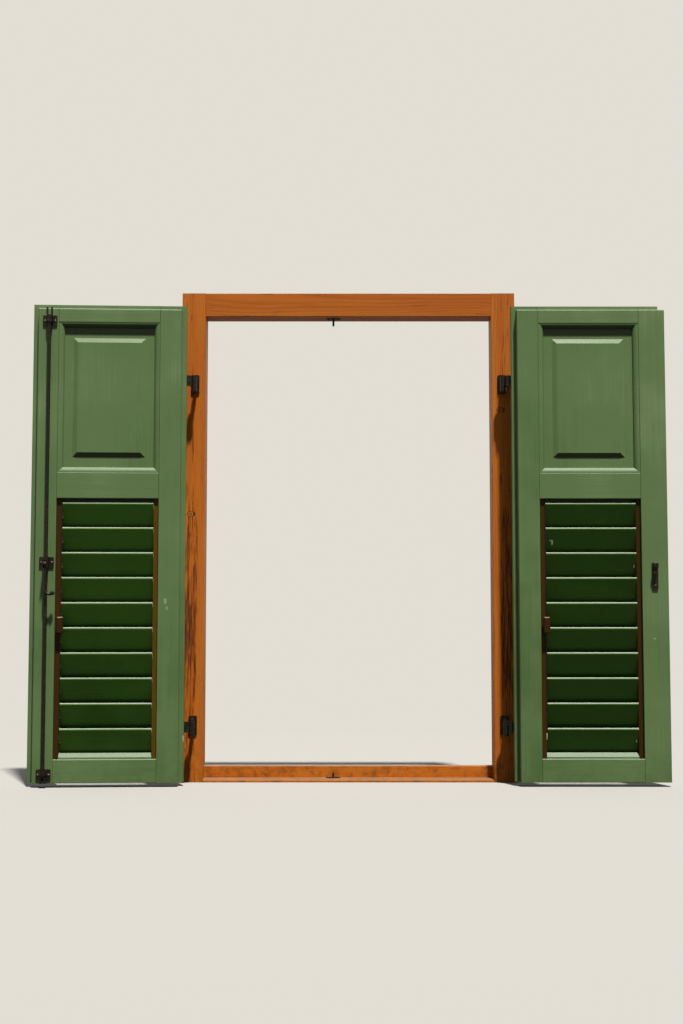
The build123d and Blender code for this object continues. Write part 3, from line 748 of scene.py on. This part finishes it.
# %% Stained wood
STAIN_LIGHT = srgb(188, 106, 26)
STAIN_MID = srgb(166, 86, 12)
STAIN_DARK = srgb(122, 56, 8)
WORN = srgb(110, 86, 64)
OUTER_PART = (0.425, 0.440)
OUTER_DEPTH = (-0.03, 0.0)
STREAK_HEIGHTS = ((0.0, 0.34), (0.58, 1.0))
DRIP_STRETCH = (210.0, 210.0, 11.0)


def stain_material(name, heart, worn, level=False, shade=0.0, knot=None):
    """Stained pine for boards that run upright or level."""

    def build(tree):
        place = object_place(tree)
        along = along_board(tree, place, level)
        sockets = {"Place": along, "Heart": heart, "Ring Width": 0.0045, "Waviness": 0.05}
        grain = use(tree, grain_group, sockets)
        wear = use(tree, weather_group, {"Place": place, "Up": upward(tree), "Dust": worn})
        # A shade number darkens the stain; the head and the right jamb use it as painted shade.
        tone = plus(tree, fade(tree, grain["Broad"], *NOISE_SPAN, 0.0, 0.7), shade)
        colour = blend_colour(tree, tone, STAIN_LIGHT, STAIN_MID)
        lines = times(tree, grain["Rings"], fade(tree, grain["Fibres"], *NOISE_SPAN, 0.05, 0.5))
        colour = blend_colour(tree, lines, colour, STAIN_DARK)
        parts = split(tree, place)
        outer = fade(tree, maths(tree, "ABSOLUTE", parts[0]), *OUTER_PART)
        outer = times(tree, outer, fade(tree, parts[1], *OUTER_DEPTH, 1.0, 0.0))
        rise = band(tree, parts[2], *STREAK_HEIGHTS)
        exposed = times(tree, outer, plus(tree, times(tree, rise, 0.75), 0.25))
        drips = noise(tree, stretch(tree, along, DRIP_STRETCH), 1.0, 6.0, 0.72, 0.4)
        drips = plus(tree, drips, times(tree, exposed, 0.17))
        colour = blend_colour(tree, fade(tree, drips, 0.60, 0.68, 0.0, 0.85), colour, STREAK)
        core = fade(tree, drips, 0.68, 0.78, 0.0, 0.9)
        colour = blend_colour(tree, core, colour, STREAK_CORE)
        colour = blend_colour(tree, times(tree, wear["Dirt"], 0.6), colour, STREAK_CORE)
        if knot:
            colour = knotted(tree, place, knot, colour)
        colour = blend_colour(tree, wear["Dust"], colour, WORN)
        rough = plus(tree, fade(tree, grain["Fibres"], 0.2, 0.8, 0.42, 0.6), times(tree, core, 0.25))
        relief = maths(tree, "SUBTRACT", grain["Fibres"], plus(tree, lines, core))
        return colour, rough, relief

    return finish_from(name, build)


# %% Boards of the frame
# Painted shade: the head and the right jamb are stained darker for the shade of the wall opening.
FRAME_BOARDS = {
    "jamb_left": {"heart": (-0.62, 0.16, 0.0), "worn": 0.3, "knot": (-0.4512, 0.759)},
    "jamb_right": {"heart": (0.6, 0.2, 0.0), "worn": 0.3, "shade": 0.2, "knot": (0.4370, 1.060)},
    "head": {"heart": (1.5, 0.22, 0.0), "worn": 0.4, "shade": 0.5, "level": True},
    "sill": {"heart": (-0.2, 0.1, 0.0), "worn": 0.85, "level": True},
}
for board, looks in FRAME_BOARDS.items():
    dress(f"frame_{board}", stain_material(f"stain_{board}", **looks))
print("stained pieces:", len(FRAME_BOARDS))

# %% [markdown]
# ## Brown wood
#
# The strips that hold the slats' pivots, and the knobs, are hard brown wood without paint. The grain
# group serves again, with finer rings. The strip by the hinges is painted paler, as painted light, and
# the one by the free edge darker, as painted shade, so the colour of the early wood changes over from
# one side of the leaf to the other.

# %% Brown wood
# Paler tint by the hinges as painted light, darker by the free edge as painted shade.
STRIP_LIT_AND_SHADED_TINTS = {
    "left": (srgb(98, 70, 6), srgb(66, 39, 4)),
    "right": (srgb(64, 41, 3), srgb(56, 37, 3)),
}
KNOB_TINT = srgb(54, 32, 12)
BROWN_LATE = srgb(34, 22, 2)
BROWN_DUST = srgb(170, 140, 96)
SIDE_TO_SIDE = (0.2, 0.3)
BROWN_SPECULAR = 0.1


def brown_material(name, leaf, hinge_side, free_side):
    """Dark brown wood, grain upright, with early wood tints at a leaf's two sides: painted light and
    shade.
    """

    def build(tree):
        place = leaf_place(tree, leaf)
        sockets = {"Place": place, "Heart": (0.3, 0.02, 0.0), "Ring Width": 0.003}
        grain = use(tree, grain_group, sockets)
        fine = fade(tree, grain["Fibres"], 0.3, 0.8, 0.0, 0.4)
        tone = plus(tree, times(tree, grain["Rings"], 0.6), fine)
        side = fade(tree, split(tree, place)[0], *SIDE_TO_SIDE)
        early = blend_colour(tree, side, hinge_side, free_side)
        colour = blend_colour(tree, tone, early, BROWN_LATE)
        wear = use(tree, weather_group, {"Place": place, "Up": upward(tree), "Dust": 0.5})
        colour = blend_colour(tree, wear["Dust"], colour, BROWN_DUST)
        return colour, fade(tree, grain["Fibres"], 0.2, 0.8, 0.4, 0.6), grain["Fibres"]

    return finish_from(name, build, specular=BROWN_SPECULAR)


for leaf, tints in STRIP_LIT_AND_SHADED_TINTS.items():
    dress(f"{leaf}_slat_strips", brown_material(f"brown_wood_{leaf}", leaf, *tints))
    dress(f"{leaf}_tilt_knob", brown_material(f"knob_wood_{leaf}", leaf, KNOB_TINT, KNOB_TINT))
    print(leaf, "knob:", nodes[f"{leaf}_tilt_knob"].material_slots[0].material.name)

# %% [markdown]
# ## Iron and steel
#
# The ironwork is forged and blackened: low and uneven gloss, small dents from the hammer, fine pits,
# and rust in patches. Real dents would cost many faces on thin bars, so they are only bump. The screws
# take the same group with a paler steel and more gloss.

# %% Iron
DENT_SCALE = 160.0
PIT_SCALE = 900.0
RUST_SCALE = 120.0

iron_group, given, result = new_group(
    "forged_iron",
    {"Place": ORIGIN, "Iron": srgb(30, 28, 25), "Rust": srgb(88, 52, 28), "Rust Share": 0.35},
    {"Colour": COLOUR, "Roughness": FLOAT, "Height": FLOAT},
)
tree = iron_group
dents = noise(tree, given["Place"], DENT_SCALE, 2.0, 0.4)
pits = noise(tree, given["Place"], PIT_SCALE, 3.0, 0.7)
rusty = fade(tree, noise(tree, given["Place"], RUST_SCALE, 5.0, 0.7), 0.5, 0.72)
rusty = times(tree, rusty, given["Rust Share"])
rough = plus(tree, fade(tree, pits, *NOISE_SPAN, 0.28, 0.46), times(tree, rusty, 0.4))
tree.links.new(blend_colour(tree, rusty, given["Iron"], given["Rust"]), result["Colour"])
tree.links.new(rough, result["Roughness"])
tree.links.new(plus(tree, dents, times(tree, pits, 0.25)), result["Height"])
print(tree.name, "nodes:", len(tree.nodes))


def iron_material(name, iron, rust_share, specular, metallic):
    """Iron with its own colour, gloss and share of rust."""

    def build(tree):
        sockets = {"Place": object_place(tree), "Iron": iron, "Rust Share": rust_share}
        forged = use(tree, iron_group, sockets)
        return forged["Colour"], forged["Roughness"], forged["Height"]

    return finish_from(name, build, IRON_RELIEF, specular, metallic)


# %% Ironwork
IRON_PIECES = [
    "pintles_left", "pintles_right", "keeper_top", "keeper_bottom", "left_straps", "right_straps",
    "left_tilt_rod", "right_tilt_rod", "bolt_guides", "bolt_rod", "handle_pin", "bolt_handle",
    "handle_catch",
]
SCREW_PIECES = ["pintle_screws", "left_strap_screws", "right_strap_screws"]
black_iron = iron_material("black_iron", srgb(24, 22, 14), 0.45, 0.22, 0.1)
screw_steel = iron_material("screw_steel", srgb(74, 70, 64), 0.6, 0.5, 0.6)
for node in IRON_PIECES:
    dress(node, black_iron)
for node in SCREW_PIECES:
    dress(node, screw_steel)
print("iron pieces:", len(IRON_PIECES), "screw pieces:", len(SCREW_PIECES))

# %% [markdown]
# ## Screw heads
#
# Each guide, catch and keeper is held by round-headed slotted screws. They are all alike, so one
# geometry tree makes them: a flattened ball with a slot cut across it, placed on points that know
# which way they face, each turned by a random amount as a hand-driven screw is.

# %% Screw tree
SCREW_INPUTS = {
    "Geometry": "Geometry",
    "Head Radius": "Float",
    "Head Height": "Float",
    "Slot Width": "Float",
    "Slot Depth": "Float",
    "Seed": "Int",
    "Material": "Material",
}
BLADE_LENGTH = 2.4


def screw_tree():
    """A tree that sets a slotted head on every point of a mesh."""
    made = bpy.data.node_groups.new("screw_heads", "GeometryNodeTree")
    for label, kind in SCREW_INPUTS.items():
        made.interface.new_socket(label, in_out="INPUT", socket_type="NodeSocket" + kind)
    made.interface.new_socket("Geometry", in_out="OUTPUT", socket_type="NodeSocketGeometry")
    given = made.nodes.new("NodeGroupInput").outputs
    result = made.nodes.new("NodeGroupOutput").inputs
    radius, height = given["Head Radius"], given["Head Height"]

    ball = put(made, "GeometryNodeMeshUVSphere", {"Segments": 28, "Rings": 14, "Radius": radius})
    flat = join(made, 1.0, 1.0, maths(made, "DIVIDE", height, radius))
    dome = put(made, "GeometryNodeTransform", {"Geometry": ball.outputs["Mesh"], "Scale": flat})

    across, deep = times(made, radius, BLADE_LENGTH), times(made, given["Slot Depth"], 2.0)
    blade = put(made, "GeometryNodeMeshCube", {"Size": join(made, across, given["Slot Width"], deep)})
    sockets = {"Geometry": blade.outputs["Mesh"], "Translation": join(made, 0.0, 0.0, height)}
    raised = put(made, "GeometryNodeTransform", sockets)
    sockets = {"Mesh 1": dome.outputs[0], "Mesh 2": raised.outputs[0]}
    head = put(made, "GeometryNodeMeshBoolean", sockets, operation="DIFFERENCE")

    facing = put(made, "GeometryNodeInputNamedAttribute", {"Name": "facing"}, data_type="FLOAT_VECTOR")
    sockets = {"Vector": facing.outputs["Attribute"]}
    aim = put(made, "FunctionNodeAlignRotationToVector", sockets, axis="Z")
    turn = put(made, "FunctionNodeRandomValue", {"Min": 0.0, "Max": math.pi, "Seed": given["Seed"]})
    turn_value = [out for out in turn.outputs if out.enabled][0]
    spin = put(made, "FunctionNodeAxisAngleToRotation", {"Axis": (0, 0, 1), "Angle": turn_value})
    sockets = {"Rotation": aim.outputs[0], "Rotate By": spin.outputs[0]}
    turned = put(made, "FunctionNodeRotateRotation", sockets, rotation_space="LOCAL")

    sockets = {"Points": given["Geometry"], "Instance": head.outputs[0], "Rotation": turned.outputs[0]}
    heads = put(made, "GeometryNodeInstanceOnPoints", sockets)
    real = put(made, "GeometryNodeRealizeInstances", {"Geometry": heads.outputs[0]})
    sockets = {"Geometry": real.outputs[0], "Material": given["Material"]}
    coated = put(made, "GeometryNodeSetMaterial", sockets)
    made.links.new(coated.outputs[0], result["Geometry"])
    return made


# %% Growing a tree on spots
def grow(name, spots, tree, values, body):
    """Runs a geometry tree on spots, each a place and a direction, and keeps the result as a mesh."""
    mesh = bpy.data.meshes.new(name + "_spots")
    mesh.from_pydata([place for place, _ in spots], [], [])
    facing = mesh.attributes.new("facing", "FLOAT_VECTOR", "POINT")
    for number, (_, way) in enumerate(spots):
        facing.data[number].vector = way
    carrier = add_object(name + "_spots", mesh)
    modifier = carrier.modifiers.new("grow", "NODES")
    modifier.node_group = tree
    for item in tree.interface.items_tree:
        if item.in_out == "INPUT" and item.name in values:
            modifier[item.identifier] = values[item.name]
    seen = carrier.evaluated_get(bpy.context.evaluated_depsgraph_get())
    piece = add_object(name, bpy.data.meshes.new_from_object(seen))
    bpy.data.objects.remove(carrier)
    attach(piece, body)
    print(name, "faces:", len(piece.data.polygons))


# %% [markdown]
# The guides and the catch lie on the inner faces of the leaves, so their screws face the room. The
# keepers lie on the head and the sill, so theirs face down and up. Each keeper's own box tells where
# the face of its plate is.

# %% Screws of the guides, the catch and the keepers
def out_of_rest(leaf, vector):
    """A vector of a closed leaf, turned with the leaf to where it stands open."""
    return Matrix.Rotation(REST_TURN[leaf], 3, "Z") @ Vector(vector)


def leaf_spot(leaf, x, z):
    """A screw's place on an inner face plate, and the direction from there into the room."""
    hinge = Vector((hinge_of[leaf][0], hinge_of[leaf][1], 0))
    place = out_of_rest(leaf, (FLIP[leaf] * x, PLATE_FACE, z)) + hinge
    return place, out_of_rest(leaf, (0, 1, 0))


PLATE_FACE = INNER_FACE + 0.003
BOLT_AT = 0.3975
GUIDE_SPREAD = 0.0145
GUIDE_LEVELS = (1.2907, 0.6148, 0.0348)
CATCH_AT = 0.4085
CATCH_LEVELS = (0.5520, 0.5880)
KEEPER_SPREAD = 0.0135
KEEPER_PLATE = 0.0025
SCREW = {
    "Head Radius": 0.0035,
    "Head Height": 0.0016,
    "Slot Width": 0.0009,
    "Slot Depth": 0.0009,
    "Material": screw_steel,
}

guide_spots = []
for level in GUIDE_LEVELS:
    for side in (-1, 1):
        guide_spots.append(leaf_spot("left", BOLT_AT + side * GUIDE_SPREAD, level))
catch_spots = [leaf_spot("right", CATCH_AT, level) for level in CATCH_LEVELS]
keeper_spots = []
for keeper, way in (("keeper_top", -1), ("keeper_bottom", 1)):
    low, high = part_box(keeper)
    middle = (low + high) / 2
    level = high.z - KEEPER_PLATE if way == -1 else low.z + KEEPER_PLATE
    for side in (-1, 1):
        place = Vector((middle.x + side * KEEPER_SPREAD, middle.y, level))
        keeper_spots.append((place, Vector((0, 0, way))))

heads = screw_tree()
grow("guide_screws", guide_spots, heads, {**SCREW, "Seed": 3}, "left_leaf")
grow("catch_screws", catch_spots, heads, {**SCREW, "Seed": 5}, "right_leaf")
grow("keeper_screws", keeper_spots, heads, {**SCREW, "Seed": 8}, "frame")
